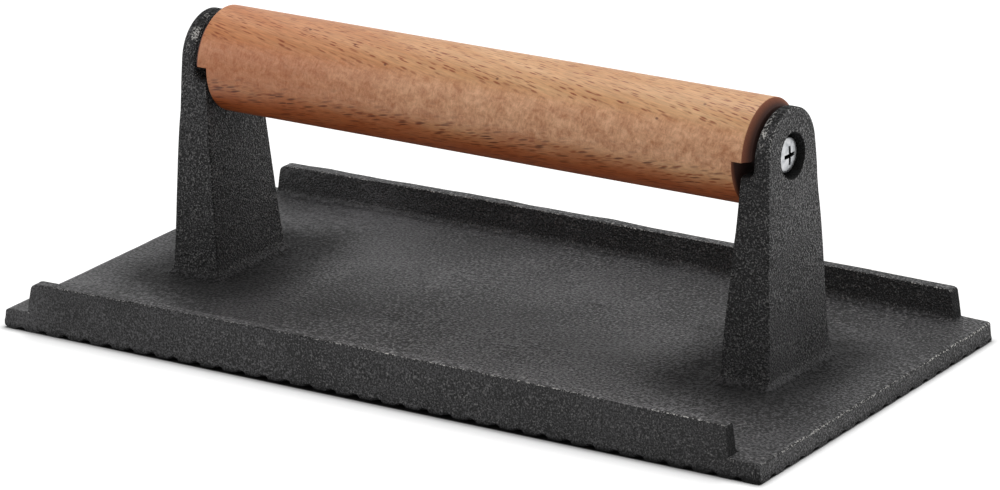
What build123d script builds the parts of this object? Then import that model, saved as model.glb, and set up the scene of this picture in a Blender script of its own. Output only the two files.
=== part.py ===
# A grill press: a ribbed cast iron plate with two upright posts, and a turned beech handle
# screwed between them.
# X runs along the handle, Y across the plate and Z up. The origin lies in the middle of the
# plate, on the plane of the rib crests that the press rests on. All sizes are in millimetres.
import os
from math import asin, atan2, ceil, cos, hypot, radians, sin, tan

from build123d import *

# Plate
plate_length = 210.0
plate_width = 110.0
plate_thickness = 5.0       # rib crests to the upper face
plate_draft = 3.4           # lean of the sides, in degrees
plate_corner = 0.7          # corner radius in plan
plate_edge = 0.45           # rounding of the upper edge

# Grooves that leave the diagonal ribs on the underside
groove_pitch = 4.54         # across the ribs
groove_radius = 1.2
groove_depth = 0.85
groove_turn = 45.0          # angle of the ribs from the handle, in degrees

# Rails along the two long edges
rail_height = 12.3          # rib crests to the top of a rail
rail_foot = 4.2             # thickness where a rail meets the plate
rail_crest = 3.3            # thickness at the top
rail_inset = 8.3            # from the end of the plate to the foot of a rail's end
rail_end_draft = 6.0        # lean of a rail's ends, in degrees
rail_edge = 0.45            # rounding of the top edges
rail_fillet = 1.5           # fillet at the inner foot

# Posts
post_inset = 21.1           # from the end of the plate to the foot of a post's outer face
post_outer_draft = 2.05     # lean of the outer face, in degrees
post_foot = 13.8            # thickness at the foot, along X
post_neck = 7.75            # thickness just below the ledge
post_width = 28.9           # width at the foot, along Y
post_crown = 11.0           # radius of the round top
crown_rise = 0.6            # screw axis up to the centre of that radius
post_edge = 0.45            # rounding of the upright edges
post_fillet = 3.0           # fillet round the foot
ledge_drop = 2.8            # screw axis down to the ledge
ledge_fillet = 1.2          # fillet between the ledge and the wall above it
wall_root = 4.9             # thickness of that wall at the ledge
wall_draft = 2.5            # lean of its inner face, in degrees
wall_outer_edge = 0.6       # rounding of the round top, outside
wall_inner_edge = 1.5       # rounding of the round top, inside

# Handle
handle_axis = 57.75         # height above the rib crests
handle_diameter = 25.6
handle_gap = 0.15           # from each end to its post
bevel_length = 1.6          # bevel of each end, along the handle
bevel_depth = 1.9           # bevel of each end, off the radius
notch_length = 4.2          # how far the lower half of each end is cut back
notch_rise = 0.85           # handle axis up to the roof of the notch

# Screws, one through each post
screw_diameter = 4.0
screw_length = 20.0         # under the head
screw_tip = 0.5             # chamfer at the tip
head_diameter = 8.4
head_height = 2.6
head_rim = 1.8              # height of the head's straight side
head_sink = 0.9             # outer face of the post in to the crown of the head
recess_span = 4.6           # cross recess, tip to tip
recess_slot = 1.0           # width of its slots
recess_depth = 1.4
recess_draft = 10.0         # lean of the recess's walls, in degrees
counterbore = 10.8          # diameter of the sinking in the post
clearance_hole = 4.5        # diameter of the hole behind it

# Threaded inserts, one in each end of the handle
insert_diameter = 7.0
insert_length = 12.0
insert_sink = 0.5           # below the cut back end of the handle
insert_barb = 0.5           # depth of the grooves between the barbs that grip the wood
insert_barbs = 6
thread_play = 0.1           # on the diameter, screw in insert
insert_play = 0.1           # on the diameter, insert in wood
bore_room = 2.0             # bore in the wood beyond the tip of the screw

near = 0.01                 # how close an edge counts as lying on a plane

# Worked out from the sizes above
post_outer = plate_length / 2 - post_inset
handle_radius = handle_diameter / 2
crown_centre = handle_axis + crown_rise
post_top = crown_centre + post_crown
ledge_height = handle_axis - ledge_drop


def outer_face(height):
    # X of the outer face of the post on the +X side
    return post_outer - (height - plate_thickness) * tan(radians(post_outer_draft))


def wall_face(height):
    # X of the inner face of the wall above the ledge, on the +X side
    root = outer_face(ledge_height) - wall_root
    return root + (height - ledge_height) * tan(radians(wall_draft))


handle_end = wall_face(handle_axis) - handle_gap
handle_cut = handle_end - notch_length
notch_roof = handle_axis + notch_rise
head_seat = outer_face(handle_axis) - head_sink - head_height
insert_face = handle_cut - insert_sink


def screw_plane(side, reach):
    # a plane square to the screw axis that faces outward, at the given distance from the middle
    return Plane(
        origin=(side * reach, 0, handle_axis),
        x_dir=(0, side, 0),
        z_dir=(side, 0, 0),
    )


def section_plane(side, reach):
    # a plane through the screw axis: its X is the radius and its Y points outward
    return Plane(
        origin=(side * reach, 0, handle_axis),
        x_dir=(0, 1, 0),
        z_dir=(0, 0, -side),
    )


def screw_axis(side):
    return Axis((0, 0, handle_axis), (side, 0, 0))


def make_rail():
    # the rail on the +Y side: its section along the plate, cut by its front view
    side_lean = tan(radians(plate_draft))
    foot_outer = plate_width / 2 - plate_thickness * side_lean
    top_outer = plate_width / 2 - rail_height * side_lean
    end_foot = plate_length / 2 - rail_inset
    end_top = end_foot - (rail_height - plate_thickness) * tan(radians(rail_end_draft))
    with BuildPart() as rail:
        with BuildSketch(Plane.YZ):
            with BuildLine():
                Polyline(
                    (plate_width / 2, 0),
                    (top_outer, rail_height),
                    (top_outer - rail_crest, rail_height),
                    (foot_outer - rail_foot, plate_thickness),
                    (foot_outer - rail_foot, 0),
                    close=True,
                )
            make_face()
        extrude(amount=plate_length / 2, both=True)
        with BuildSketch(Plane.XZ):
            with BuildLine():
                Polyline(
                    (-end_foot, 0),
                    (-end_foot, plate_thickness),
                    (-end_top, rail_height),
                    (end_top, rail_height),
                    (end_foot, plate_thickness),
                    (end_foot, 0),
                    close=True,
                )
            make_face()
        extrude(amount=plate_width, both=True, mode=Mode.INTERSECT)
        fillet(rail.edges().group_by(Axis.Z)[-1], rail_edge)
    return rail.part


def make_post():
    # the post on the +X side: its end view, cut by its side view
    foot_half = post_width / 2
    rise = crown_centre - plate_thickness
    lean = atan2(foot_half, rise) - asin(post_crown / hypot(foot_half, rise))
    touch_half = post_crown * cos(lean)
    touch_height = crown_centre + post_crown * sin(lean)
    inner_foot = post_outer - post_foot
    inner_neck = outer_face(ledge_height) - post_neck
    wall_middle = (outer_face(crown_centre) + wall_face(crown_centre)) / 2
    with BuildPart() as post:
        with BuildSketch(Plane.YZ):
            with BuildLine():
                Polyline(
                    (-touch_half, touch_height),
                    (-foot_half, plate_thickness),
                    (foot_half, plate_thickness),
                    (touch_half, touch_height),
                )
                ThreePointArc(
                    (touch_half, touch_height),
                    (0, post_top),
                    (-touch_half, touch_height),
                )
            make_face()
        extrude(amount=plate_length / 2)
        with BuildSketch(Plane.XZ):
            with BuildLine():
                Polyline(
                    (post_outer, plate_thickness),
                    (outer_face(post_top), post_top),
                    (wall_face(post_top), post_top),
                    (wall_face(ledge_height), ledge_height),
                    (inner_neck, ledge_height),
                    (inner_foot, plate_thickness),
                    close=True,
                )
            make_face()
        extrude(amount=plate_width, both=True, mode=Mode.INTERSECT)
        root = post.edges().filter_by(Axis.Y).sort_by_distance(
            (wall_face(ledge_height), 0, ledge_height)
        )[0]
        fillet(root, ledge_fillet)
        crown = post.edges().filter_by(GeomType.LINE, reverse=True).filter_by(
            lambda edge: edge.center().Z > crown_centre
        )
        fillet(crown.filter_by(lambda edge: edge.center().X > wall_middle), wall_outer_edge)
        fillet(crown.filter_by(lambda edge: edge.center().X < wall_middle), wall_inner_edge)
        upright = post.edges().filter_by(lambda edge: edge.bounding_box().size.Z > rise / 2)
        fillet(upright, post_edge)
    return post.part


def lies_on_plate(edge):
    box = edge.bounding_box()
    return abs(box.min.Z - plate_thickness) < near and abs(box.max.Z - plate_thickness) < near


def is_rail_foot(edge):
    # a long edge where the inner face of a rail meets the plate
    inner = plate_width / 2 - rail_foot - rail_crest
    outer = plate_width / 2 - rail_crest
    return (
        lies_on_plate(edge)
        and edge.length > plate_length / 2
        and inner < abs(edge.center().Y) < outer
    )


def is_post_foot(edge):
    # an edge of the outline in which a post meets the plate
    middle = edge.center()
    return (
        lies_on_plate(edge)
        and abs(middle.Y) < post_width / 2 + near
        and post_outer - post_foot - near < abs(middle.X) < post_outer + near
    )


def make_casting():
    half_span = hypot(plate_length, plate_width) / 2
    groove_count = 2 * ceil(half_span / groove_pitch) + 1
    turn = radians(groove_turn)
    across_ribs = Plane(
        origin=(0, 0, 0),
        x_dir=(-sin(turn), cos(turn), 0),
        z_dir=(cos(turn), sin(turn), 0),
    )
    rail_body = make_rail()
    post_body = make_post()
    with BuildPart() as casting:
        with BuildSketch():
            Rectangle(plate_length, plate_width)
            fillet(vertices(), plate_corner)
        extrude(amount=plate_thickness, taper=plate_draft)
        fillet(casting.edges().group_by(Axis.Z)[-1], plate_edge)
        add(rail_body)
        mirror(rail_body, about=Plane.XZ)
        fillet(casting.edges().filter_by(is_rail_foot), rail_fillet)
        add(post_body)
        mirror(post_body, about=Plane.YZ)
        fillet(casting.edges().filter_by(is_post_foot), post_fillet)
        with BuildSketch(across_ribs):
            with Locations((0, groove_depth - groove_radius)):
                with GridLocations(groove_pitch, groove_pitch, groove_count, 1):
                    Circle(groove_radius)
        extrude(amount=half_span, both=True, mode=Mode.SUBTRACT)
        for side in (1, -1):
            with Locations(screw_plane(side, outer_face(handle_axis))):
                Cylinder(counterbore / 2, 2 * (head_sink + head_height), mode=Mode.SUBTRACT)
                Cylinder(clearance_hole / 2, 2 * post_foot, mode=Mode.SUBTRACT)
    return casting


def make_handle():
    insert_reach = handle_end - insert_face + insert_length
    screw_reach = handle_end - head_seat + screw_length + bore_room
    with BuildPart() as handle:
        with BuildSketch(Plane.YZ.offset(-handle_end)):
            with Locations((0, handle_axis)):
                Circle(handle_radius)
        extrude(amount=2 * handle_end)
        for side in (1, -1):
            end_face = handle.faces().sort_by(Axis.X)[-1 if side > 0 else 0]
            chamfer(end_face.edges(), bevel_depth, bevel_length, reference=end_face)
        for side in (1, -1):
            with BuildSketch(Plane.YZ.offset(side * handle_cut)):
                with Locations((0, notch_roof - handle_diameter / 2)):
                    Rectangle(handle_diameter, handle_diameter)
            extrude(amount=side * 2 * notch_length, mode=Mode.SUBTRACT)
            with Locations(screw_plane(side, handle_end)):
                Cylinder((insert_diameter + insert_play) / 2, 2 * insert_reach, mode=Mode.SUBTRACT)
                Cylinder(clearance_hole / 2, 2 * screw_reach, mode=Mode.SUBTRACT)
    return handle


def make_screw(side):
    # a pan head machine screw: turned about its axis, with a cross recess in the crown
    head_radius = head_diameter / 2
    shank_radius = screw_diameter / 2
    with BuildPart() as screw:
        with BuildSketch(section_plane(side, head_seat)):
            with BuildLine():
                Polyline(
                    (0, head_height),
                    (0, -screw_length),
                    (shank_radius - screw_tip, -screw_length),
                    (shank_radius, screw_tip - screw_length),
                    (shank_radius, 0),
                    (head_radius, 0),
                    (head_radius, head_rim),
                )
                EllipticalCenterArc((0, head_rim), head_radius, head_height - head_rim, arc_size=90)
            make_face()
        revolve(axis=screw_axis(side))
        with BuildSketch(screw_plane(side, head_seat + head_height)):
            Rectangle(recess_span, recess_slot)
            Rectangle(recess_slot, recess_span)
        extrude(amount=-recess_depth, taper=recess_draft, mode=Mode.SUBTRACT)
    return screw


def make_insert(side):
    # a threaded sleeve with barbs round it, turned about the screw axis
    crest = insert_diameter / 2
    bore = (screw_diameter + thread_play) / 2
    barb_length = insert_length / insert_barbs
    with BuildPart() as insert:
        with BuildSketch(section_plane(side, insert_face)):
            with BuildLine():
                outline = [(bore, -insert_length), (bore, 0), (crest, 0)]
                for barb in range(insert_barbs):
                    outline.append((crest, -(barb + 0.5) * barb_length))
                    outline.append((crest - insert_barb, -(barb + 1) * barb_length))
                    if barb < insert_barbs - 1:
                        outline.append((crest, -(barb + 1) * barb_length))
                Polyline(*outline, close=True)
            make_face()
        revolve(axis=screw_axis(side))
    return insert


os.makedirs("parts", exist_ok=True)

casting = make_casting()
casting.part.label = "press_casting"
export_step(casting.part, "parts/press_casting.step")

handle = make_handle()
handle.part.label = "handle"
export_step(handle.part, "parts/handle.step")

for side, end_name in ((-1, "left"), (1, "right")):
    screw = make_screw(side)
    screw.part.label = end_name + "_screw"
    export_step(screw.part, f"parts/{end_name}_screw.step")

    insert = make_insert(side)
    insert.part.label = end_name + "_insert"
    export_step(insert.part, f"parts/{end_name}_insert.step")
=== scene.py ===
# Grill press: a ribbed cast iron plate with rails and two posts, a turned beech handle between
# them and a zinc plated pan head screw through each post. All lengths are in metres.
import bpy
import math
import numpy as np
from mathutils import Matrix, Vector


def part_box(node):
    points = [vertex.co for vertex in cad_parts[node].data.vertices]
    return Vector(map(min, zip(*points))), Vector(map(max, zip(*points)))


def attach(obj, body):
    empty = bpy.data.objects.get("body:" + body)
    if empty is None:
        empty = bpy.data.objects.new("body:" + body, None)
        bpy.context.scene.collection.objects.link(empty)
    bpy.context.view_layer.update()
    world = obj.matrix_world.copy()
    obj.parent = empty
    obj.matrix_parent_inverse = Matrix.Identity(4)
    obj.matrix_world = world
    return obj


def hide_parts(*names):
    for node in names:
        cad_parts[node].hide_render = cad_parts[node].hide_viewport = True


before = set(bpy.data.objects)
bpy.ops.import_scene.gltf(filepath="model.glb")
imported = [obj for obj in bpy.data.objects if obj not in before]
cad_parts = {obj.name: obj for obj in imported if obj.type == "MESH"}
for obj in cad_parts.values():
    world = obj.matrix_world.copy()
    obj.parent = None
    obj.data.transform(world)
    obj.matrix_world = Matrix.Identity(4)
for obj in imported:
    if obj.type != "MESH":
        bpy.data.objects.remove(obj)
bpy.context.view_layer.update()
mm = 0.001


# Colour and node helpers

def linearColour(hexColour):
    # sRGB hex to linear red, green, blue, alpha
    parts = [int(hexColour[i:i + 2], 16) / 255 for i in (1, 3, 5)]
    return [c / 12.92 if c <= 0.04045 else ((c + 0.055) / 1.055) ** 2.4 for c in parts] + [1.0]


def addNode(tree, kind, links=None, values=(), inputs=None, stops=(), **settings):
    # a shader node: links come from a socket or from a node's first output, values go to the inputs
    # after the first, in their order, inputs go by name or number, stops are the two
    # (position, hex colour) of a colour ramp, and the rest are the node's own settings
    node = tree.nodes.new("ShaderNode" + kind)
    for name, value in settings.items():
        setattr(node, name, value)
    for name, value in [*enumerate(values, 1), *(inputs or {}).items()]:
        node.inputs[name].default_value = value
    for number, (position, hexColour) in enumerate(stops):
        node.color_ramp.elements[number].position = position
        node.color_ramp.elements[number].color = linearColour(hexColour)
    for name, source in (links or {}).items():
        tree.links.new(getattr(source, "outputs", [source])[0], node.inputs[name])
    return node


def newMaterial(name):
    material = bpy.data.materials.new(name)
    material.use_nodes = True
    material.node_tree.nodes.clear()
    return material, material.node_tree


# Mesh helpers

def meshObject(name, points, faces, smooth=True):
    mesh = bpy.data.meshes.new(name)
    mesh.from_pydata(points.tolist(), [], faces.tolist())
    mesh.polygons.foreach_set("use_smooth", np.full(len(mesh.polygons), smooth))
    mesh.update()
    piece = bpy.data.objects.new(name, mesh)
    bpy.context.scene.collection.objects.link(piece)
    return piece


def gridFaces(rows, columns):
    # quads between neighbouring rows of a grid whose columns close into a ring
    row, column = np.meshgrid(np.arange(rows - 1), np.arange(columns), indexing="ij")
    after = (column + 1) % columns
    near, far = row * columns, (row + 1) * columns
    return np.stack([near + column, near + after, far + after, far + column], axis=-1).reshape(-1, 4)


def bakeModifiers(piece):
    # the piece's modifiers become its own mesh
    evaluated = piece.evaluated_get(bpy.context.evaluated_depsgraph_get())
    done = bpy.data.meshes.new_from_object(evaluated)
    piece.modifiers.clear()
    piece.data = done
    return piece


def readPoints(mesh, what="vertices", field="co"):
    values = np.zeros(len(getattr(mesh, what)) * 3, np.float32)
    getattr(mesh, what).foreach_get(field, values)
    return values.reshape(-1, 3).astype(float)


def latticeNoise(points, cell, seed):
    # random values from -1 to 1 on a cubic lattice, blended between the eight corners of each
    # cell with the weight t * t * (3 - 2 t); the table's length is a prime, so that it repeats late
    tableLength = 4093
    table = np.random.default_rng(seed).uniform(-1, 1, tableLength)
    scaled = points / cell
    low = np.floor(scaled).astype(np.int64)
    share = scaled - low
    share = share * share * (3 - 2 * share)
    total = np.zeros(len(points))
    for corner in range(8):
        step = np.array([corner & 1, corner >> 1 & 1, corner >> 2 & 1])
        at = low + step
        # large primes turn the three whole numbers into one place in the table
        key = (at[:, 0] * 73856093 ^ at[:, 1] * 19349663 ^ at[:, 2] * 83492791) % tableLength
        total += np.where(step == 1, share, 1 - share).prod(axis=1) * table[key]
    return total


# Casting

casting = {
    "half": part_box("press_casting")[1].x,
    "plateTop": 5.0 * mm,
    "crest": 12.3 * mm,        # top of the rails
    "railEnd": 96.7 * mm,      # distance of their ends from the middle, at the foot
    "railLean": 0.77 * mm,     # and how much less it is at the top
    "longest": 5 * mm,         # edges longer than this are halved, so that the surface can bend
    "longestUnder": 14 * mm,   # the same on the ribs, which hardly bend
    "ribs": 1.2 * mm,          # height up to which that holds
    "bow": 0.9 * mm,           # rise of the plate and rails at mid length
    "bowFade": (14 * mm, 34 * mm),   # the bow fades out over these heights of the posts
    "wave": 17 * mm,           # size of the slow waviness of a sand casting
    "waveDepth": 0.22 * mm,
    "waveMiddle": 0.6,         # taken from the noise, so that the surface sinks more than it rises
    "dent": 6 * mm,
    "dentDepth": 0.10 * mm,
    "dentMiddle": 0.5,
    "seeds": (3, 4),           # of the waves and of the dents
    "same": 1e-7,              # corners of the CAD mesh on one point of a grid this fine are one point
    "sharp": 40,               # degrees between two faces from which their edge stays sharp
    "longestEnd": 0.8 * mm,    # most that an edge spans of the length at the two ends
    "most": 170000,            # triangles left after thinning, which takes them from flat places
    "railStart": 13 * mm,      # distance from the plate's end at which the rails' ends begin to reach
    # the two ends: the length over which the plate is rounded, the share of its thickness that this
    # takes, the height it is rounded towards, how much further the rails reach and their rounding
    "ends": [
        {"side": -1, "round": 2.3 * mm, "share": 0.72, "middle": 3.1 * mm,
         "reach": 1.2 * mm, "railRound": 1.7 * mm},
        {"side": 1, "round": 1.4 * mm, "share": 0.26, "middle": 0.8 * mm,
         "reach": 0.0, "railRound": 0.9 * mm},
    ],
}


def halveLongEdges(points, faces, style):
    # every triangle has its longest edge halved where that edge is too long, all in one pass, and
    # edges that are as long but for rounding with it; a triangle that shares a halved edge is cut
    # from the new point
    ends = np.sort(faces[:, [[0, 1], [1, 2], [2, 0]]], axis=2).reshape(-1, 2)
    keys = ends[:, 0] * len(points) + ends[:, 1]
    first, slot = np.unique(keys, return_index=True, return_inverse=True)[1:]
    pairs, slot = ends[first], slot.reshape(-1, 3)
    length = np.linalg.norm(points[pairs[:, 0]] - points[pairs[:, 1]], axis=1)
    under = points[pairs, 2].max(axis=1) < style["ribs"]
    own = length[slot]
    longest = own >= own.max(axis=1, keepdims=True) * (1 - 1e-9)
    cut = np.zeros(len(pairs), bool)
    cut[slot[longest]] = True
    cut &= length > np.where(under, style["longestUnder"], style["longest"])
    # at the ends, which are rounded, no edge spans much of the length; 0.1 mm allows for rounding
    away = np.abs(points[pairs, 0]).max(axis=1)
    span = np.abs(points[pairs[:, 0], 0] - points[pairs[:, 1], 0])
    onRail = points[pairs, 2].max(axis=1) > style["plateTop"] + 0.1 * mm
    near = away > style["half"] - np.where(onRail, style["railStart"], style["ends"][0]["round"])
    near &= ~under | (points[pairs, 0].max(axis=1) < 0)
    cut |= near & (span > style["longestEnd"])
    middle = np.full(len(pairs), -1)
    middle[cut] = len(points) + np.arange(cut.sum())
    points = np.concatenate([points, points[pairs[cut]].mean(axis=1)])
    return points, middle[slot]


def cutTriangles(faces, middles):
    # one edge halved gives two triangles, two give three and three give four; each triangle is
    # turned so that its cases start at the same corner
    halved = (middles >= 0).sum(axis=1)
    start = np.where(halved == 2, (middles < 0).argmax(axis=1), (middles >= 0).argmax(axis=1))
    order = (start[:, None] + [0, 1, 2]) % 3
    a, b, c = np.take_along_axis(faces, order, axis=1).T
    ab, bc, ca = np.take_along_axis(middles, order, axis=1).T
    pieces = [faces[halved == 0]]
    shapes = {1: [(a, ab, c), (ab, b, c)],
              2: [(a, b, bc), (a, bc, ca), (ca, bc, c)],
              3: [(a, ab, ca), (ab, b, bc), (ca, bc, c), (ab, bc, ca)]}
    for count, shape in shapes.items():
        here = halved == count
        pieces += [np.stack([corner[here] for corner in triangle], axis=1) for triangle in shape]
    return np.concatenate(pieces)


def roundEnd(points, moved, style, shape):
    # over its last stretch the plate closes in on one height by the factor
    # 1 - share * (1 - sqrt(1 - u^2)); the rails' ends reach out further, and their top falls by
    # railRound * (1 - sqrt(1 - u^2)) * t^2 at the share t of their height; the lengths below 0.1 mm
    # only allow for rounding
    x, z = points[:, 0] * shape["side"], points[:, 2]
    half, top, middle = style["half"], style["plateTop"], shape["middle"]
    u = np.clip((x - half + shape["round"]) / shape["round"], 0, 1)
    squeeze = 1 - shape["share"] * (1 - np.sqrt(1 - u * u))
    moved[:, 2] = np.where(u > 0, middle + (moved[:, 2] - middle) * squeeze, moved[:, 2])
    t = np.clip((z - top) / (style["crest"] - top), 0, 1)
    end = style["railEnd"] - t * style["railLean"]
    start = half - style["railStart"]
    onRail = (x < end + 0.05 * mm) & (z > top - 0.01 * mm)
    reach = np.clip((x - start) / (end - start), 0, 1) * onRail
    moved[:, 0] += shape["side"] * shape["reach"] * reach
    u = np.clip((x - end + shape["railRound"]) / shape["railRound"], 0, 1)
    moved[:, 2] -= shape["railRound"] * (1 - np.sqrt(1 - u * u)) * t ** 2 * onRail


def makeCasting(style):
    # the CAD casting as one closed surface, with the slow waviness of a sand mould along its
    # normals and a rise of bow * (1 - (x / half)^2) in the plate and rails
    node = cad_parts["press_casting"]
    points = readPoints(node.data)
    corners = np.zeros(len(node.data.loops), np.int32)
    node.data.loops.foreach_get("vertex_index", corners)
    grid = np.round(points / style["same"]).astype(np.int64)
    first, same = np.unique(grid, axis=0, return_index=True, return_inverse=True)[1:]
    points, faces = points[first], same.reshape(-1)[corners].reshape(-1, 3)
    solid = (faces[:, 0] != faces[:, 1]) & (faces[:, 1] != faces[:, 2]) & (faces[:, 2] != faces[:, 0])
    faces = faces[solid]
    count = 0
    while count != len(points):
        count = len(points)
        points, middles = halveLongEdges(points, faces, style)
        faces = cutTriangles(faces, middles)
    piece = meshObject("castPress", points, faces)
    mesh = piece.data
    normals = readPoints(mesh, "vertex_normals", "vector")
    waves, dents = style["seeds"]
    lift = style["waveDepth"] * (latticeNoise(points, style["wave"], waves) - style["waveMiddle"])
    lift += style["dentDepth"] * (latticeNoise(points, style["dent"], dents) - style["dentMiddle"])
    # the ribs' crests, on which the press stands, stay flat
    rise = np.clip(points[:, 2] / style["ribs"] - 0.5, 0, 1)
    moved = points + normals * (lift * rise)[:, None]
    low, high = style["bowFade"]
    fade = np.clip((high - points[:, 2]) / (high - low), 0, 1)
    moved[:, 2] += style["bow"] * (1 - (points[:, 0] / style["half"]) ** 2) * fade
    for shape in style["ends"]:
        roundEnd(points, moved, style, shape)
    mesh.vertices.foreach_set("co", moved.astype(np.float32).ravel())
    mesh.update()
    thin = piece.modifiers.new("thin", "DECIMATE")
    thin.ratio = min(1.0, style["most"] / len(mesh.polygons))
    mesh = bakeModifiers(piece).data
    mesh.set_sharp_from_angle(angle=math.radians(style["sharp"]))
    weighted = piece.modifiers.new("weighted", "WEIGHTED_NORMAL")
    weighted.keep_sharp = True
    bakeModifiers(piece)
    return piece


# Handle

handle = {
    "columns": 160,
    "rows": 220,
    "rimSoft": 0.12 * mm,      # softening of the bevel's two edges
    "bevelLength": 1.6 * mm,
    "bevelDepth": 1.9 * mm,
    "notchLength": 4.2 * mm,
    "notchRise": 0.85 * mm,
    "endRows": 34,             # rows from a notch's wall to the end of the bar
    "capRows": 14,             # rows that close an end
    "sanding": 0.05 * mm,      # unevenness left by sanding
    "sandingSize": 7 * mm,     # size of its hollows across the bar
    "sandingStretch": 0.35,    # the places along the bar are taken times this, which makes them longer
    "seed": 11,
    "weld": 1e-6,              # points nearer than this are merged where the ends close
}


def makeHandle(style):
    # a bar turned about its axis: x and radius follow the outline of one half, mirrored, and the
    # points beyond each notch wall are raised to the notch's roof
    low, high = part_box("handle")
    axis, radius, end = (low.z + high.z) / 2, (high.z - low.z) / 2, high.x
    rim = radius - style["bevelDepth"]
    shoulder = end - style["bevelLength"]
    wall = end - style["notchLength"]
    soft = style["rimSoft"]
    # the rows lie closer together towards the notches
    body = wall * np.sin(np.linspace(-1, 1, style["rows"]) * math.pi / 2)
    # the bevel's two edges are softened by points at fractions of "soft" from them
    outline = [(wall, radius), (shoulder - soft, radius), (shoulder, radius - 0.3 * soft),
               (shoulder + soft * 0.8, radius - soft * 0.95), (end - soft * 0.6, rim + soft * 0.7),
               (end - soft * 0.12, rim + 0.1 * soft), (end, rim - soft * 0.8)]
    outline = np.array(outline)
    steps = np.concatenate([[0], np.cumsum(np.hypot(*np.diff(outline, axis=0).T))])
    dense = np.linspace(0, steps[-1], style["endRows"])
    endX, endR = np.interp(dense, steps, outline[:, 0]), np.interp(dense, steps, outline[:, 1])
    x = np.concatenate([-endX[::-1], body, endX])
    r = np.concatenate([endR[::-1], np.full(len(body), radius), endR])
    angle = np.arange(style["columns"]) / style["columns"] * 2 * math.pi
    xx, aa = np.meshgrid(x, angle, indexing="ij")
    rr = np.repeat(r[:, None], style["columns"], axis=1)
    onBar = np.stack([xx * style["sandingStretch"], np.cos(aa) * radius, np.sin(aa) * radius], axis=-1)
    wobble = latticeNoise(onBar.reshape(-1, 3), style["sandingSize"], style["seed"])
    rr = rr - style["sanding"] * (0.5 + 0.5 * wobble.reshape(xx.shape))
    yy, zz = rr * np.cos(aa), rr * np.sin(aa)
    # the two rows at each notch wall stand at one x: the outer one is raised to the roof
    beyond = np.zeros(len(x), bool)
    beyond[:len(endX)] = True
    beyond[-len(endX):] = True
    roof = style["notchRise"]
    zz[beyond] = np.maximum(zz[beyond], roof)
    # each end closes by rows that sink straight down to the roof line
    caps = np.linspace(1, 0, style["capRows"])[1:]
    lowEnd = [(xx[0], yy[0], roof + (zz[0] - roof) * share) for share in caps[::-1]]
    highEnd = [(xx[-1], yy[-1], roof + (zz[-1] - roof) * share) for share in caps]
    grid = np.concatenate([np.array(lowEnd).transpose(0, 2, 1),
                           np.stack([xx, yy, zz], axis=-1),
                           np.array(highEnd).transpose(0, 2, 1)])
    points = grid.reshape(-1, 3) + [0, 0, axis]
    piece = meshObject("beechHandle", points, gridFaces(len(grid), style["columns"]))
    weld = piece.modifiers.new("weld", "WELD")
    weld.merge_threshold = style["weld"]
    bakeModifiers(piece)
    return piece


# Materials

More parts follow.
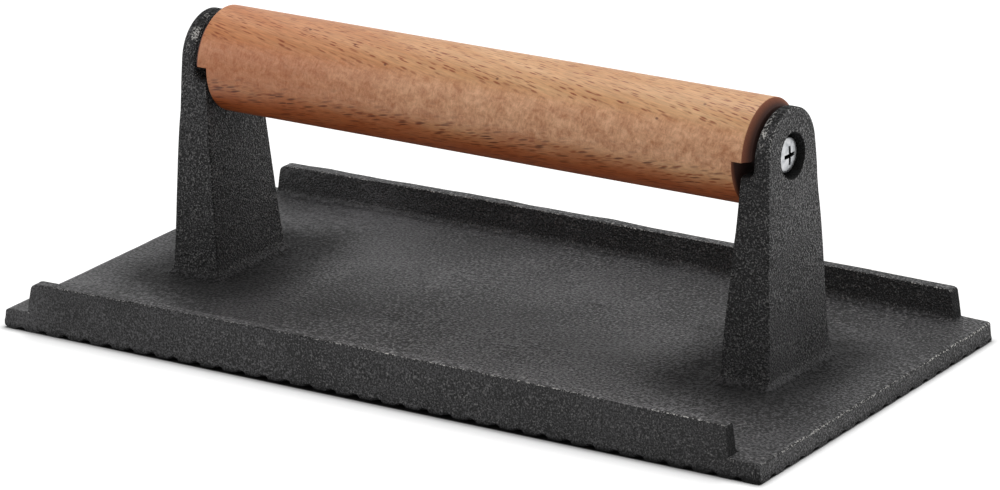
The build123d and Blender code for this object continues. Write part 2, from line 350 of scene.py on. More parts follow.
ironFinish = {
    "deep": "#040404",         # the coat where it is darkest, between the grains
    "face": "#515052",         # and on top of them
    "bareAndGlint": "#E2DFDA",         # bare metal, near white also as painted glints and highlights
    "tones": (0.45, 0.58),     # values of the pattern that have the first two colours
    "grain": 0.42 * mm,        # half the distance between two sand grains, drawn coarse enough to show
    "topGrain": 0.70 * mm,     # the same on faces that look up, which are seen at a low angle
    "grainHeight": 0.75 * mm,
    "postGrain": 1.35,         # how much stronger the grain is on the posts
    "pit": 2.2 * mm,
    "pitHeight": 0.35 * mm,
    "blotch": 26 * mm,
    "blotchShare": 0.2,        # share of the colour's range that the blotches take, and not the grain
    "dullRoughness": 0.6,      # added to the roughness where shade is painted
    "ior": 1.42,
    "edge": 0.7 * mm,          # how far the worn spots and painted highlights reach from an edge
    "brim": (103.7 * mm, 53.7 * mm),   # half sizes beyond which the plate's upper edge lies
    "brimTop": 4.2 * mm,       # height above which it lies
    "railTop": 11.2 * mm,      # height above which the rails' upper edges lie
    "railEnds": (100.7 * mm, 45 * mm),   # their ends lie within the first, along, and beyond the second
    "railEndShade": 0.8,        # how strongly painted shade darkens the ends, which are also made rougher
    "posts": 14 * mm,          # height above which only the posts reach
    "foot": (75.0 * mm, 6.9 * mm, 14.5 * mm),   # a post's distance from the middle and its half sizes
    # below, each effect has the places, parts of the normal or values of the pattern at which it
    # begins and is full, and where they aren't 0 and 1, its strengths there
    "upwards": (0.5, 0.9),                 # faces that look up
    "inFoot": (6 * mm, 1 * mm),            # distances from a post's outline
    "calm": (-5 * mm, -100 * mm, 1.0, 0.5),   # smoother towards the left end: the grain left there
    "roughness": (0.43, 0.60, 0.62, 0.29),    # in the hollows between the grains and on top of them
    "nearEdge": (0.995, 0.95),             # cosines between the true normal and the rounded one
    "spots": (0.53, 0.60),                 # grains that are high enough to be worn bare, and painted bright as highlights, at an edge
    "knocked": (0.1, 0.4, 0.12),           # upright edges get less wear and painted highlight than those that look up
    "leaning": (0.15, 0.3),                # a rounded upper edge is neither upright
    "notLevel": (0.92, 0.8),               # nor level
    # painted glints on the highest grains
    "flecks": (0.62, 0.74, 0.0, 0.25),
    "sinking": (5.7 * mm, 5.4 * mm),       # distances from the screw axis over which painted shade blackens the sinking
    "bottomShade": (1.9 * mm, 0.7 * mm),    # heights over which painted shade blackens the bottom edge
    "endwise": (0.5, 0.8),                 # faces that look along the press
    "endShadeLeft": (0.0, 1.0, 1.0, 0.4),      # how much of the painted bottom shade is left on the two ends of the plate
    "footShade": (22 * mm, 4 * mm, 0.0, 0.75),   # painted shade round the posts' feet, by its distance
    "frontwise": (-0.5, -0.9),             # faces that look to the front
    "dark": (-30 * mm, 75 * mm, 0.0, 0.4),    # painted shade: the front faces are blacker towards the right
    "lowPostShade": (48 * mm, 12 * mm, 0.0, 0.4),     # painted shade: the posts are blacker downwards
    "innerShade": (-45 * mm, -60 * mm, 0.0, 0.4),   # painted shade: and so are the posts' inner faces
    "fettled": (61.5 * mm, 64.5 * mm),     # heights over which the ground patch on each post begins
    "fettledReach": (80.9 * mm, 79.7 * mm),   # how far out from the middle it reaches
    "fettledFront": (0.5 * mm, -2.5 * mm),
    "fettledRim": (0.8, 0.5),              # it leaves out the posts' broad faces
    "torn": (0.42, 0.50),                  # pits
    "glint": (0.42, 0.55),                 # and hollows between the grains that stay black in it
}


def seasonedIron(style, axisHeight):
    # Sand cast grey iron with a baked oil seasoning: nearly black, a satin sheen broken up by the grain of
    # the sand, spots of bare metal along the edges and a ground patch on top of each post, with painted
    # glints and highlights on grains and edges and painted shade in the sinkings, along the bottom, round and
    # on the posts and on the front faces
    material, tree = newMaterial("seasonedIron")
    place = addNode(tree, "TexCoord").outputs["Object"]
    normal = addNode(tree, "NewGeometry").outputs["Normal"]
    x, y, z = addNode(tree, "SeparateXYZ", {0: place}).outputs
    facingX, facingY, facingZ = addNode(tree, "SeparateXYZ", {0: normal}).outputs
    size = addNode(tree, "VectorMath", {0: place}, operation="ABSOLUTE")
    farX, farY = addNode(tree, "SeparateXYZ", {0: size}).outputs[:2]
    turned = addNode(tree, "Math", {0: facingX}, operation="ABSOLUTE")
    endwise = addNode(tree, "MapRange", {"Value": turned}, style["endwise"])
    upwards = addNode(tree, "MapRange", {"Value": facingZ}, style["upwards"])
    onPost = addNode(tree, "Math", {0: z}, inputs={1: style["posts"]}, operation="GREATER_THAN")
    # the distance from the outline of a post's foot: length(max(place - half sizes, 0))
    beside = addNode(tree, "Math", {0: farX}, inputs={1: style["foot"][0]}, operation="SUBTRACT")
    beside = addNode(tree, "Math", {0: beside}, operation="ABSOLUTE")
    beside = addNode(tree, "CombineXYZ", {"X": beside, "Y": farY})
    beside = addNode(tree, "VectorMath", {0: beside}, inputs={1: (*style["foot"][1:], 0)},
                     operation="SUBTRACT")
    beside = addNode(tree, "VectorMath", {0: beside}, operation="MAXIMUM")
    beside = addNode(tree, "VectorMath", {0: beside}, operation="LENGTH").outputs["Value"]
    inFoot = addNode(tree, "MapRange", {"Value": beside}, style["inFoot"])
    # the grain, coarser on faces that look up, and stronger or weaker about its middle value, 0.5
    sideGrain = addNode(tree, "TexNoise", {"Vector": place},
                        inputs={"Scale": 1 / style["grain"], "Detail": 1.0, "Roughness": 0.6})
    topGrain = addNode(tree, "TexNoise", {"Vector": place},
                       inputs={"Scale": 1 / style["topGrain"], "Detail": 1.5, "Roughness": 0.7})
    grain = addNode(tree, "Mix", {0: upwards, 2: sideGrain, 3: topGrain})
    calm = addNode(tree, "MapRange", {"Value": x}, style["calm"])
    rougher = addNode(tree, "Math", {0: inFoot}, inputs={1: style["postGrain"]}, operation="MULTIPLY")
    full = addNode(tree, "Math", {0: calm, 1: rougher}, operation="MAXIMUM")
    grain = addNode(tree, "Mix", {0: full, 3: grain}, inputs={2: 0.5}, clamp_factor=False)
    pit = addNode(tree, "TexNoise", {"Vector": place},
                  inputs={"Scale": 1 / style["pit"], "Detail": 2.0, "Roughness": 0.5})
    blotch = addNode(tree, "TexNoise", {"Vector": place},
                     inputs={"Scale": 1 / style["blotch"], "Detail": 3.0})
    mix = addNode(tree, "Mix", {2: grain, 3: blotch}, inputs={0: style["blotchShare"]})
    colour = addNode(tree, "ValToRGB", {"Fac": mix},
                     stops=zip(style["tones"], (style["deep"], style["face"])))
    coarse = addNode(tree, "Bump", {"Height": pit}, inputs={"Strength": 1.0, "Distance": style["pitHeight"]})
    bump = addNode(tree, "Bump", {"Height": grain, "Normal": coarse},
                   inputs={"Strength": 1.0, "Distance": style["grainHeight"]})
    # worn spots on the posts' edges, painted near white as highlights as well as wear: the rounded normal of
    # a Bevel node leaves the true one only there
    rounded = addNode(tree, "Bevel", inputs={"Radius": style["edge"]})
    along = addNode(tree, "VectorMath", {0: normal, 1: rounded}, operation="DOT_PRODUCT").outputs["Value"]
    lookUp = addNode(tree, "SeparateXYZ", {0: rounded}).outputs["Z"]
    edges = addNode(tree, "MapRange", {"Value": along}, style["nearEdge"])
    spots = addNode(tree, "MapRange", {"Value": grain}, style["spots"])
    knocked = addNode(tree, "MapRange", {"Value": lookUp}, style["knocked"])
    for part in (spots, knocked, onPost):
        edges = addNode(tree, "Math", {0: edges, 1: part}, operation="MULTIPLY")
    # wear and painted highlights on the rounded upper edges of the rails and the plate, by the lean of their
    # faces and their places
    leaning = addNode(tree, "MapRange", {"Value": facingZ}, style["leaning"])
    notLevel = addNode(tree, "MapRange", {"Value": facingZ}, style["notLevel"])
    past = addNode(tree, "Math", {0: farX}, inputs={1: style["brim"][0]}, operation="GREATER_THAN")
    aside = addNode(tree, "Math", {0: farY}, inputs={1: style["brim"][1]}, operation="GREATER_THAN")
    crest = addNode(tree, "Math", {0: z}, inputs={1: style["railTop"]}, operation="GREATER_THAN")
    raised = addNode(tree, "Math", {0: z}, inputs={1: style["brimTop"]}, operation="GREATER_THAN")
    lip = addNode(tree, "Math", {0: past, 1: aside}, operation="MAXIMUM")
    lip = addNode(tree, "Math", {0: lip, 1: raised}, operation="MULTIPLY")
    lip = addNode(tree, "Math", {0: lip, 1: crest}, operation="MAXIMUM")
    lip = addNode(tree, "Math", {0: lip, 1: onPost}, operation="SUBTRACT", use_clamp=True)
    for part in (leaning, notLevel, spots):
        lip = addNode(tree, "Math", {0: lip, 1: part}, operation="MULTIPLY")
    edges = addNode(tree, "Math", {0: edges, 1: lip}, operation="MAXIMUM")
    # painted glints: bright flecks all over, on the highest grains
    flecks = addNode(tree, "MapRange", {"Value": grain}, style["flecks"])
    # painted shade: the colour goes to dull black in the sinkings round the screws, along the bottom edge,
    # round the feet of the posts and on the ends of the rails, where the coat is also made rougher
    rise = addNode(tree, "Math", {0: z}, inputs={1: axisHeight}, operation="SUBTRACT")
    ring = addNode(tree, "CombineXYZ", {"X": y, "Y": rise})
    ring = addNode(tree, "VectorMath", {0: ring}, operation="LENGTH").outputs["Value"]
    shadeAndDull = addNode(tree, "MapRange", {"Value": ring}, style["sinking"])
    # painted shade along the bottom edge, fading towards the left end and on the plate's end faces
    low = addNode(tree, "MapRange", {"Value": z}, style["bottomShade"])
    shadeLeft = addNode(tree, "MapRange", {"Value": endwise}, style["endShadeLeft"])
    for part in (calm, shadeLeft):
        low = addNode(tree, "Math", {0: low, 1: part}, operation="MULTIPLY")
    # painted shade on the plate round the posts' feet
    footShade = addNode(tree, "MapRange", {"Value": beside}, style["footShade"], interpolation_type="SMOOTHSTEP")
    footShade = addNode(tree, "Math", {0: footShade, 1: upwards}, operation="MULTIPLY")
    # painted shade on the rails' ends
    inside = addNode(tree, "Math", {0: farX}, inputs={1: style["railEnds"][0]}, operation="LESS_THAN")
    offLine = addNode(tree, "Math", {0: farY}, inputs={1: style["railEnds"][1]}, operation="GREATER_THAN")
    ends = addNode(tree, "Math", {0: endwise, 1: offLine}, operation="MULTIPLY")
    ends = addNode(tree, "Math", {0: ends, 1: inside}, operation="MULTIPLY")
    ends = addNode(tree, "Math", {0: ends}, inputs={1: style["railEndShade"]}, operation="MULTIPLY")
    for part in (low, footShade, ends):
        shadeAndDull = addNode(tree, "Math", {0: shadeAndDull, 1: part}, operation="MAXIMUM")
    # painted shade: it is darker on the front faces towards the right, on the posts downwards and on their
    # inner faces, those that face the
    # middle: x times the normal's x is below 0 there
    frontwise = addNode(tree, "MapRange", {"Value": facingY}, style["frontwise"])
    dark = addNode(tree, "MapRange", {"Value": x}, style["dark"])
    dark = addNode(tree, "Math", {0: dark, 1: frontwise}, operation="MULTIPLY")
    lowPostShade = addNode(tree, "MapRange", {"Value": z}, style["lowPostShade"])
    lowPostShade = addNode(tree, "Math", {0: lowPostShade, 1: inFoot}, operation="MULTIPLY")
    across = addNode(tree, "Math", {0: x, 1: facingX}, operation="MULTIPLY")
    innerFaceShade = addNode(tree, "MapRange", {"Value": across}, style["innerShade"])
    for part in (lowPostShade, innerFaceShade):
        dark = addNode(tree, "Math", {0: dark, 1: part}, operation="MAXIMUM")
    # the ground patch, real bare metal with painted glints: high on the post, on the front half of its round
    # top, painted black with near white glints, black where the pits and the hollows between the grains break
    # up the bare metal
    patch = addNode(tree, "MapRange", {"Value": z}, style["fettled"])
    front = addNode(tree, "MapRange", {"Value": y}, style["fettledFront"])
    rim = addNode(tree, "MapRange", {"Value": turned}, style["fettledRim"])
    reach = addNode(tree, "MapRange", {"Value": farX}, style["fettledReach"])
    torn = addNode(tree, "MapRange", {"Value": pit}, style["torn"])
    glint = addNode(tree, "MapRange", {"Value": grain}, style["glint"])
    for part in (front, rim, reach):
        patch = addNode(tree, "Math", {0: patch, 1: part}, operation="MULTIPLY")
    # the painted shade and the ground patch take the colour to the deep one
    shadeAndPatch = patch
    for part in (shadeAndDull, dark):
        shadeAndPatch = addNode(tree, "Math", {0: shadeAndPatch, 1: part}, operation="MAXIMUM")
    for part in (torn, glint):
        patch = addNode(tree, "Math", {0: patch, 1: part}, operation="MULTIPLY")
    # the wear, the painted glints and highlights and the patch's glints take the bare colour, but not where
    # shade is painted
    bareAndGlint = edges
    for part in (flecks, patch):
        bareAndGlint = addNode(tree, "Math", {0: bareAndGlint, 1: part}, operation="MAXIMUM")
    bareAndGlint = addNode(tree, "Math", {0: bareAndGlint, 1: shadeAndDull}, operation="SUBTRACT", use_clamp=True)
    shadedColour = addNode(tree, "Mix", {"Factor": shadeAndPatch, 6: colour}, data_type="RGBA",
                       inputs={7: linearColour(style["deep"])}).outputs[2]
    mixed = addNode(tree, "Mix", {"Factor": bareAndGlint, 6: shadedColour}, data_type="RGBA",
                    inputs={7: linearColour(style["bareAndGlint"])}).outputs[2]
    rough = addNode(tree, "MapRange", {"Value": mix}, style["roughness"])
    rough = addNode(tree, "Math", {0: shadeAndDull, 2: rough}, inputs={1: style["dullRoughness"]},
                    operation="MULTIPLY_ADD", use_clamp=True)
    shader = addNode(tree, "BsdfPrincipled", {"Base Color": mixed, "Roughness": rough, "Normal": bump},
                     inputs={"IOR": style["ior"]})
    addNode(tree, "OutputMaterial", {"Surface": shader})
    return material


beechFinish = {
    "pale": "#E9B787",         # between the rings
    "ring": "#D29866",
    "ringTones": (0.36, 0.62),   # values of the pattern that have the ring's colour and the pale one
    "warm": "#B85A20",         # the darker wood of the left end
    "warmReach": (10 * mm, -62 * mm),
    "warmShare": 0.5,
    "underShade": "#A95223",        # a redder, darker colour painted on the underside as shade
    "underShadeReach": (1 * mm, -8 * mm),   # heights over which it begins
    "underShadeShare": 0.95,
    "wander": 7 * mm,          # how far that edge wanders
    "silver": "#F6BE92",       # where the rays lie flat, as silver grain
    "silverDark": "#BE7B4E",
    "silverTones": (0.37, 0.62),
    "silverSize": (0.6 * mm, 3 * mm, 1.3 * mm),
    "silverPatch": (3.2 * mm, 2.2 * mm, 2.2 * mm),
    "patchShare": 0.6,         # share of the patches in its pattern
    "silverTurn": 14,          # degrees from the front up to the middle of the silver grain
    "lying": (0.85, 0.975),    # depths over which the rays come to lie flat, as shares of the radius
    "fleck": "#8E4016",
    "darkFleck": "#5A2408",
    # each kind of fleck: its cell along the grain, across it and in depth, half a fleck against the
    # cell, the random values over which one gets its strength, and its share of the colour
    "flecks": {"cell": (3.2 * mm, 0.8 * mm, 1.6 * mm), "half": (0.46, 0.2, 0.5),
               "picked": (0.0, 0.6), "share": 0.95},
    "fineFlecks": {"cell": (4.4 * mm, 0.6 * mm, 1.2 * mm), "half": (0.45, 0.22, 0.5),
                   "picked": (0.0, 0.8), "share": 0.8},
    "longFlecks": {"cell": (6.6 * mm, 0.68 * mm, 1.5 * mm), "half": (0.46, 0.25, 0.5),
                   "picked": (0.0, 0.35), "share": 0.9},
    "pinKnots": {"cell": (11 * mm, 6 * mm, 6 * mm), "half": (0.05, 0.07, 0.07),
                 "picked": (0.4, 0.6), "share": 0.8},
    "longReach": (6 * mm, -1 * mm, 0.1),   # heights over which the long flecks begin, and their least
    "crossCut": (0.0, 1.0, 1.0, 0.15),     # strength of the flecks from cut rays to flat ones
    "plain": (0.0, 1.0, 1.0, 0.3),         # the same for the fibres
    "streak": (0.35, 0.65, 0.82, 1.08),    # the fibres' shading
    "ringSize": (70 * mm, 14 * mm, 2.6 * mm),
    "fibreSize": (4.5 * mm, 0.36 * mm, 0.36 * mm),
    "fibreHeight": 0.06 * mm,
    "fibreBump": 0.35,
    "cloudSize": (22 * mm, 8 * mm, 8 * mm),
    "grainLean": 0.126,        # slope of the grain against the handle's axis
    "endGrain": "#36190F",     # the middle of the cut ends, end grain darkened further as painted shade
    "endRim": "#8E543B",       # the bevel next to the turned face
    "bevel": (1.6 * mm, 0.1 * mm),     # depths below the turned face over which it gets that colour
    "cut": (0.35, 0.6),        # share of the normal along the handle at which end grain begins
    "roughness": 0.45,
    "endRoughness": 0.85,
    "ior": 1.5,
}


def grainFrame(turn, lean):
    # turns a place into one along the grain, across the rays and outwards from the pith
    across = Vector((0, math.cos(turn), -math.sin(turn)))
    outwards = Vector((0, math.sin(turn), math.cos(turn)))
    grain = (Vector((1, 0, 0)) - lean * across - lean * outwards).normalized()
    outwards = (outwards - grain * outwards.dot(grain)).normalized()
    return Matrix((grain, outwards.cross(grain), outwards)).to_euler()


def lacqueredBeech(style, axisHeight, radius):
    # Turned European beech under a satin lacquer: tan, with soft growth rings, short dark flecks
    # where the rays are cut across and a mottled silver grain where they lie flat, dark ends of end grain
    # with painted shade, and a redder, darker colour painted on the underside as shade
    material, tree = newMaterial("lacqueredBeech")
    place = addNode(tree, "TexCoord").outputs["Object"]
    centred = addNode(tree, "Mapping", {"Vector": place}, inputs={"Location": (0, 0, -axisHeight)})
    turn = math.radians(style["silverTurn"])
    lean = grainFrame(turn, style["grainLean"])
    wood = addNode(tree, "Mapping", {"Vector": centred}, inputs={"Rotation": lean})
    straight = addNode(tree, "Mapping", {"Vector": centred}, inputs={"Rotation": grainFrame(turn, 0)})

    def scaled(size):
        return addNode(tree, "Mapping", {"Vector": wood}, inputs={"Scale": [1 / s for s in size]})

    def spindles(kind):
        # one spindle in each cell of a stretched Voronoi pattern, of its own strength
        cells = scaled(kind["cell"])
        cell = addNode(tree, "TexVoronoi", {"Vector": cells}, inputs={"Scale": 1.0, "Randomness": 1.0})
        apart = addNode(tree, "VectorMath", {0: cells, 1: cell.outputs["Position"]}, operation="SUBTRACT")
        apart = addNode(tree, "VectorMath", {0: apart}, inputs={1: kind["half"]}, operation="DIVIDE")
        apart = addNode(tree, "VectorMath", {0: apart}, operation="LENGTH").outputs["Value"]
        stroke = addNode(tree, "MapRange", {"Value": apart}, (1.0, 0.5))
        chosen = addNode(tree, "SeparateXYZ", {0: cell.outputs["Color"]}).outputs["X"]
        picked = addNode(tree, "MapRange", {"Value": chosen}, kind["picked"])
        return addNode(tree, "Math", {0: stroke, 1: picked}, operation="MULTIPLY")

    def stained(colour, amount, hexColour, share):
        # the colour mixed towards another by amount * share
        part = addNode(tree, "Math", {0: amount}, inputs={1: share}, operation="MULTIPLY")
        return addNode(tree, "Mix", {"Factor": part, 6: colour}, data_type="RGBA",
                       inputs={7: linearColour(hexColour)}).outputs[2]

    ring = addNode(tree, "TexNoise", {"Vector": scaled(style["ringSize"])},
                   inputs={"Scale": 1.0, "Detail": 3.0, "Roughness": 0.55})
    fibre = addNode(tree, "TexNoise", {"Vector": scaled(style["fibreSize"])},
                    inputs={"Scale": 1.0, "Detail": 3.0, "Roughness": 0.6})
    cloud = addNode(tree, "TexNoise", {"Vector": scaled(style["cloudSize"])},
                    inputs={"Scale": 1.0, "Detail": 2.0})
    silver = addNode(tree, "TexNoise", {"Vector": scaled(style["silverSize"])},
                     inputs={"Scale": 1.0, "Detail": 3.0, "Roughness": 0.65, "Distortion": 0.7})
    patch = addNode(tree, "TexNoise", {"Vector": scaled(style["silverPatch"])},
                    inputs={"Scale": 1.0, "Detail": 4.0, "Roughness": 0.7, "Distortion": 0.5})
    across, outwards = addNode(tree, "SeparateXYZ", {0: straight}).outputs[1:]
    # 1 where the surface faces along the rays' flat side, 0 where it cuts across them
    depth = addNode(tree, "Math", {0: across}, operation="ABSOLUTE")
    lying = addNode(tree, "MapRange", {"Value": depth}, [share * radius for share in style["lying"]],
                    interpolation_type="SMOOTHSTEP")
    ground = addNode(tree, "ValToRGB", {"Fac": ring},
                     stops=zip(style["ringTones"], (style["ring"], style["pale"])))
    patchy = addNode(tree, "Mix", {2: silver, 3: patch}, inputs={0: style["patchShare"]})
    mottle = addNode(tree, "ValToRGB", {"Fac": patchy},
                     stops=zip(style["silverTones"], (style["silverDark"], style["silver"])))
    colour = addNode(tree, "Mix", {"Factor": lying, 6: ground, 7: mottle}, data_type="RGBA").outputs[2]
    onBar = addNode(tree, "SeparateXYZ", {0: place}).outputs["X"]
    warm = addNode(tree, "MapRange", {"Value": onBar}, style["warmReach"], interpolation_type="SMOOTHSTEP")
    colour = stained(colour, warm, style["warm"], style["warmShare"])
    # painted shade: a redder, darker colour on the underside, with an edge that wanders by the cloud
    wander = addNode(tree, "Math", {0: cloud, 2: outwards}, inputs={1: style["wander"]},
                     operation="MULTIPLY_ADD")
    underShade = addNode(tree, "MapRange", {"Value": wander}, style["underShadeReach"], interpolation_type="SMOOTHSTEP")
    colour = stained(colour, underShade, style["underShade"], style["underShadeShare"])
    streak = addNode(tree, "MapRange", {"Value": fibre}, style["streak"])
    plain = addNode(tree, "MapRange", {"Value": lying}, style["plain"])
    colour = addNode(tree, "Mix", {"Factor": plain, 6: colour, 7: streak},
                     data_type="RGBA", blend_type="MULTIPLY").outputs[2]
    # short flecks all over but where the rays lie flat, long dark ones towards the bottom
    crossCut = addNode(tree, "MapRange", {"Value": lying}, style["crossCut"])
    for kind in (style["flecks"], style["fineFlecks"]):
        amount = addNode(tree, "Math", {0: spindles(kind), 1: crossCut}, operation="MULTIPLY")
        colour = stained(colour, amount, style["fleck"], kind["share"])
    amount = spindles(style["longFlecks"])
    for part in (addNode(tree, "MapRange", {"Value": wander}, style["longReach"]), crossCut):
        amount = addNode(tree, "Math", {0: amount, 1: part}, operation="MULTIPLY")
    colour = stained(colour, amount, style["darkFleck"], style["longFlecks"]["share"])
    colour = stained(colour, spindles(style["pinKnots"]), style["darkFleck"], style["pinKnots"]["share"])
    # end grain, darkened further as painted shade: the bevels, the ends and the notch walls, which all face
    # along the handle
    normal = addNode(tree, "NewGeometry").outputs["True Normal"]
    facing = addNode(tree, "SeparateXYZ", {0: normal}).outputs["X"]
    facing = addNode(tree, "Math", {0: facing}, operation="ABSOLUTE")
    cut = addNode(tree, "MapRange", {"Value": facing}, style["cut"])
    around = addNode(tree, "VectorMath", {0: centred}, inputs={1: (0, 1, 1)}, operation="MULTIPLY")
    around = addNode(tree, "VectorMath", {0: around}, operation="LENGTH").outputs["Value"]
    bevel = addNode(tree, "MapRange", {"Value": around}, [radius - below for below in style["bevel"]])
    uneven = addNode(tree, "Math", {0: bevel, 1: streak}, operation="MULTIPLY")
    ends = addNode(tree, "Mix", {"Factor": uneven}, data_type="RGBA",
                   inputs={6: linearColour(style["endGrain"]), 7: linearColour(style["endRim"])}).outputs[2]
    colour = addNode(tree, "Mix", {"Factor": cut, 6: colour, 7: ends}, data_type="RGBA").outputs[2]
    bump = addNode(tree, "Bump", {"Height": fibre},
                   inputs={"Strength": style["fibreBump"], "Distance": style["fibreHeight"]})
    rough = addNode(tree, "MapRange", {"Value": cut}, (0.0, 1.0, style["roughness"], style["endRoughness"]))
    shader = addNode(tree, "BsdfPrincipled", {"Base Color": colour, "Roughness": rough, "Normal": bump},
                     inputs={"IOR": style["ior"]})
    addNode(tree, "OutputMaterial", {"Surface": shader})
    return material


zincFinish = {
    "face": "#CDCED0",
    "shade": "#A6A9AC",
    "tones": (0.35, 0.6),      # values of the haze that have the shade and the face
    "recess": "#232325",
    "haze": 1.4 * mm,
    "fine": 0.25 * mm,
    "fineHeight": 0.02 * mm,
    "fineBump": 0.5,
    "roughness": 0.34,
    "recessReach": 2.6 * mm,   # radius within which the cross recess lies
    "recessDepth": (0.05 * mm, 0.3 * mm),   # depths below the dome over which it darkens
    "domeRise": 0.8 * mm,
    "headRadius": 4.2 * mm,
}


def zincPlate(style, crown, axisHeight):
    # Bright zinc plate on cold headed steel: silvery white with a faint uneven haze, and darker
    # in the cross recess
    material, tree = newMaterial("zincPlate")
    place = addNode(tree, "TexCoord").outputs["Object"]
    haze = addNode(tree, "TexNoise", {"Vector": place}, inputs={"Scale": 1 / style["haze"], "Detail": 4.0})
    fine = addNode(tree, "TexNoise", {"Vector": place}, inputs={"Scale": 1 / style["fine"], "Detail": 2.0})
    colour = addNode(tree, "ValToRGB", {"Fac": haze},
                     stops=zip(style["tones"], (style["shade"], style["face"])))
    x, y, z = addNode(tree, "SeparateXYZ", {0: place}).outputs
    outwards = addNode(tree, "Math", {0: x}, operation="ABSOLUTE")
    rise = addNode(tree, "Math", {0: z}, inputs={1: axisHeight}, operation="SUBTRACT")
    flat = addNode(tree, "CombineXYZ", {"X": y, "Y": rise})
    away = addNode(tree, "VectorMath", {0: flat}, operation="LENGTH").outputs["Value"]
    # the dome falls off as crown - rise * (distance / radius)^2
    fall = addNode(tree, "Math", {0: away, 1: away}, operation="MULTIPLY")
    dome = addNode(tree, "Math", {0: fall, 2: outwards},
                   inputs={1: style["domeRise"] / style["headRadius"] ** 2}, operation="MULTIPLY_ADD")
    depth = addNode(tree, "MapRange", {"Value": dome}, [crown - below for below in style["recessDepth"]])
    within = addNode(tree, "Math", {0: away}, inputs={1: style["recessReach"]}, operation="LESS_THAN")
    dark = addNode(tree, "Math", {0: depth, 1: within}, operation="MULTIPLY")
    mixed = addNode(tree, "Mix", {"Factor": dark, 6: colour}, data_type="RGBA",
                    inputs={7: linearColour(style["recess"])}).outputs[2]
    bump = addNode(tree, "Bump", {"Height": fine},
                   inputs={"Strength": style["fineBump"], "Distance": style["fineHeight"]})
    shader = addNode(tree, "BsdfPrincipled", {"Base Color": mixed, "Normal": bump},
                     inputs={"Metallic": 1.0, "Roughness": style["roughness"]})
    addNode(tree, "OutputMaterial", {"Surface": shader})
    return material


brassFinish = {
    "face": "#D8B25E",
    "shade": "#A9853B",
    "tones": (0.35, 0.65),     # values of the pattern that have the shade and the face
    "turning": 0.2 * mm,
    "turningHeight": 0.01 * mm,
    "turningBump": 0.4,
    "stretch": (1.0, 0.02, 0.02),   # across the axis the noise hardly changes, which makes it rings
    "roughness": 0.3,
}


def turnedBrass(style):
    # Free cutting brass, turned: fine rings round the axis of the insert
    material, tree = newMaterial("turnedBrass")
    place = addNode(tree, "TexCoord").outputs["Object"]
    ringPlace = addNode(tree, "Mapping", {"Vector": place}, inputs={"Scale": style["stretch"]})
    ring = addNode(tree, "TexNoise", {"Vector": ringPlace},
                   inputs={"Scale": 1 / style["turning"], "Detail": 2.0})
    colour = addNode(tree, "ValToRGB", {"Fac": ring},
                     stops=zip(style["tones"], (style["shade"], style["face"])))
    bump = addNode(tree, "Bump", {"Height": ring},
                   inputs={"Strength": style["turningBump"], "Distance": style["turningHeight"]})
    shader = addNode(tree, "BsdfPrincipled", {"Base Color": colour, "Normal": bump},
                     inputs={"Metallic": 1.0, "Roughness": style["roughness"]})
    addNode(tree, "OutputMaterial", {"Surface": shader})
    return material


def dress(piece, material):
    piece.data.materials.clear()
    piece.data.materials.append(material)


handleLow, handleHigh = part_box("handle")
handleAxis = (handleLow.z + handleHigh.z) / 2
iron = seasonedIron(ironFinish, handleAxis)
beech = lacqueredBeech(beechFinish, handleAxis, (handleHigh.z - handleLow.z) / 2)
zinc = zincPlate(zincFinish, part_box("right_screw")[1].x, handleAxis)
brass = turnedBrass(brassFinish)
print("materials")

castPress = makeCasting(casting)
dress(castPress, iron)
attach(castPress, "root")
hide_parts("press_casting")
print("casting", len(castPress.data.polygons), "faces")

beechHandle = makeHandle(handle)
dress(beechHandle, beech)
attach(beechHandle, "root")
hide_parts("handle")
print("handle", len(beechHandle.data.polygons), "faces")

for name in ("left_screw", "right_screw"):
    dress(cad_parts[name], zinc)
for name in ("left_insert", "right_insert"):
    dress(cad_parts[name], brass)


# Studio

studio = {
    "floorSize": 6.0,
    "floorColour": "#F4F4F4",
    "footprint": (104.5 * mm, 54.5 * mm),   # half sizes of the patch under the press, which has no glow and is painted dark as shade
    "nearGlow": (0.0, 3 * mm, 0.0, 0.35),   # distances from it over which the glow rises, and how far
    "farGlow": (0.5, 1.5, 0.0, 0.8),   # and where it rises further
    "shade": "#3C3C3C",
    "paintedShadeReach": (0.0, 0.5 * mm),     # the painted shade under the press, seen between the ribs, ends over these distances from it
    "worldLight": (0.0, 1.0, 0.26, 1.0),   # the world's strength as a light and as the white seen
    "aim": (0, 0, 0.03),
    "lamps": [
        # name, place, width, power
        ("topSoftbox", (-0.1, 0.38, 1.5), 1.0, 16.2),
        ("rightSoftbox", (1.5, 0.45, 0.6), 0.7, 4.3),
        ("frontFill", (-0.45, -0.42, 0.3), 0.28, 0.66),
    ],
}


def seenWhite(tree):
    # 1 for rays from the camera and for reflected or refracted ones, 0 for the rest
    path = addNode(tree, "LightPath")
    seen = path.outputs["Is Camera Ray"]
    for kind in ("Is Glossy Ray", "Is Transmission Ray"):
        seen = addNode(tree, "Math", {0: seen, 1: path.outputs[kind]}, operation="MAXIMUM")
    return seen


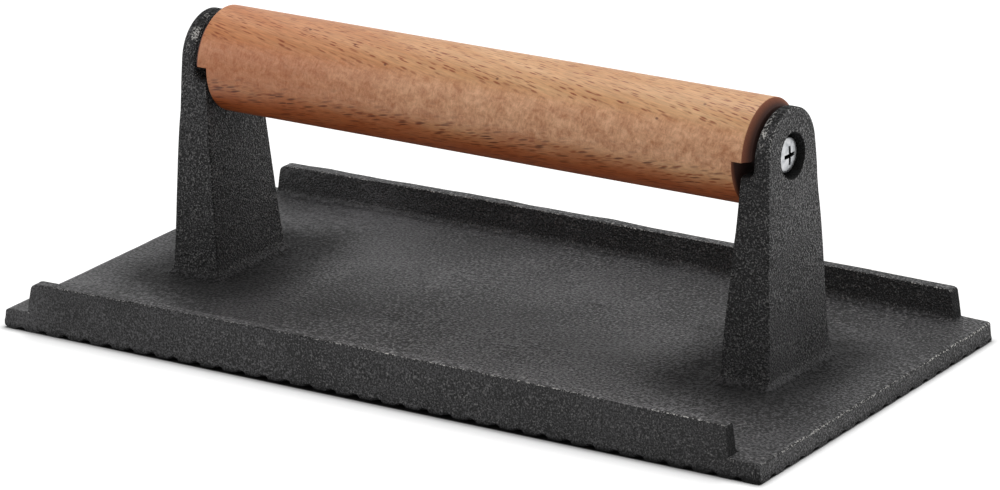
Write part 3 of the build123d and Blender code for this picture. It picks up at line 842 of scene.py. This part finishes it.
def makeFloor(style):
    # away from the press the floor glows for the camera up to white, under it it doesn't, and a dark patch is
    # painted under it as shade
    half = style["floorSize"] / 2
    corners = np.array([(-half, -half, 0), (half, -half, 0), (half, half, 0), (-half, half, 0)])
    floor = meshObject("floor", corners, np.array([[0, 1, 2, 3]]), smooth=False)
    material, tree = newMaterial("studioFloor")
    place = addNode(tree, "TexCoord").outputs["Object"]
    size = addNode(tree, "VectorMath", {0: place}, operation="ABSOLUTE")
    past = addNode(tree, "VectorMath", {0: size}, inputs={1: (*style["footprint"], 0)},
                   operation="SUBTRACT")
    outside = addNode(tree, "VectorMath", {0: past}, operation="MAXIMUM")
    away = addNode(tree, "VectorMath", {0: outside}, operation="LENGTH").outputs["Value"]
    near = addNode(tree, "MapRange", {"Value": away}, style["nearGlow"], interpolation_type="SMOOTHSTEP")
    far = addNode(tree, "MapRange", {"Value": away}, style["farGlow"])
    rise = addNode(tree, "Math", {0: near, 1: far}, operation="MAXIMUM")
    glow = addNode(tree, "Math", {0: seenWhite(tree), 1: rise}, operation="MULTIPLY")
    # painted shade: the floor's colour is dark under the press
    edge = addNode(tree, "MapRange", {"Value": away}, style["paintedShadeReach"])
    tone = addNode(tree, "Mix", {"Factor": edge}, data_type="RGBA",
                   inputs={6: linearColour(style["shade"]), 7: linearColour(style["floorColour"])}).outputs[2]
    matt = addNode(tree, "BsdfDiffuse", {"Color": tone})
    light = addNode(tree, "Emission", {"Strength": glow})
    both = addNode(tree, "AddShader", {0: matt, 1: light})
    addNode(tree, "OutputMaterial", {"Surface": both})
    floor.data.materials.append(material)


def makeWorld(style):
    world = bpy.data.worlds.new("studio")
    world.use_nodes = True
    tree = world.node_tree
    tree.nodes.clear()
    strength = addNode(tree, "MapRange", {"Value": seenWhite(tree)}, style["worldLight"])
    back = addNode(tree, "Background", {"Strength": strength})
    addNode(tree, "OutputWorld", {"Surface": back})
    bpy.context.scene.world = world


def makeLamps(style):
    aim = Vector(style["aim"])
    for name, place, width, power in style["lamps"]:
        lamp = bpy.data.lights.new(name, "AREA")
        lamp.size = width
        lamp.energy = power
        holder = bpy.data.objects.new(name, lamp)
        holder.location = place
        holder.rotation_euler = (aim - Vector(place)).to_track_quat("-Z", "Y").to_euler()
        bpy.context.scene.collection.objects.link(holder)


makeFloor(studio)
makeWorld(studio)
makeLamps(studio)
bpy.context.scene.view_settings.view_transform = "Standard"


# Camera

camera = {
    "azimuth": 32.84,          # degrees from the front towards the right end
    "elevation": 18.80,
    "distance": 1.3749,
    "target": (0.00192, 0.0, 0.02272),
    "roll": -0.956,
    "lens": 208.62,
    "sensor": 36.0,
    "clip": 0.01,              # nearer than this nothing shows
}


def makeCamera(style):
    turn, lift = math.radians(style["azimuth"]), math.radians(style["elevation"])
    back = Vector((math.sin(turn) * math.cos(lift), -math.cos(turn) * math.cos(lift), math.sin(lift)))
    right = Vector((0, 0, 1)).cross(back).normalized()
    up = back.cross(right)
    roll = math.radians(style["roll"])
    rolledRight = right * math.cos(roll) + up * math.sin(roll)
    rolledUp = up * math.cos(roll) - right * math.sin(roll)
    data = bpy.data.cameras.new("camera")
    data.lens = style["lens"]
    data.sensor_width = style["sensor"]
    data.clip_start = style["clip"]
    view = bpy.data.objects.new("camera", data)
    turned = Matrix((rolledRight, rolledUp, back)).transposed().to_4x4()
    view.matrix_world = Matrix.Translation(Vector(style["target"]) + back * style["distance"]) @ turned
    bpy.context.scene.collection.objects.link(view)
    bpy.context.scene.camera = view


makeCamera(camera)
print("studio and camera")
